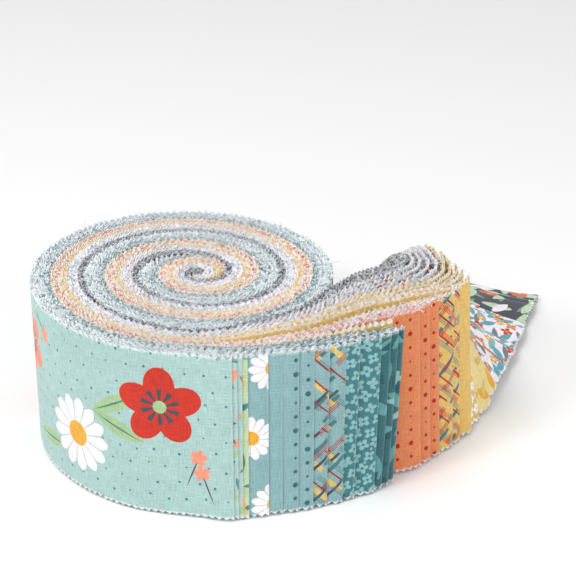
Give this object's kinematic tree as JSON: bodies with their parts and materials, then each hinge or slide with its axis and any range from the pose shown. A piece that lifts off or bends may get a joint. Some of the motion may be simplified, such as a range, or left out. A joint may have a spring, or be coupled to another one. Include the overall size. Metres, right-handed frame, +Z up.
{
  "type": "fabric strip roll",
  "caption": "Roll of pre-cut printed cotton strips with pinked edges, wound flat and stood on its edge, its loose ends fanned out to one side in order of colour.",
  "frame": {"origin": "the point on the roll's axis at the level of its lower face, which it stands on", "axes": "+Z up along the roll's axis, +X to the right in the picture, +Y away from the viewer"},
  "size_m": [0.2021, 0.1781, 0.0645],
  "materials": {
    "mint": "matt woven cotton print",
    "orange": "matt woven cotton print",
    "yellow": "matt woven cotton print",
    "white": "matt woven cotton print",
    "dark": "matt woven cotton print"
  },
  "bodies": {
    "root": {"wound_roll": "mint", "strip_18": "orange", "strip_19": "orange", "strip_20": "orange", "strip_21": "yellow", "strip_22": "yellow", "strip_23": "yellow", "strip_24": "yellow", "strip_25": "yellow", "strip_26": "yellow", "strip_27": "yellow", "strips_28_29": "white", "strips_30_31": "white", "strips_32_33": "white", "strips_34_35": "white", "strips_36_37": "dark", "strips_38_39": "dark", "strip_40": "dark"}
  },
  "joints": []
}
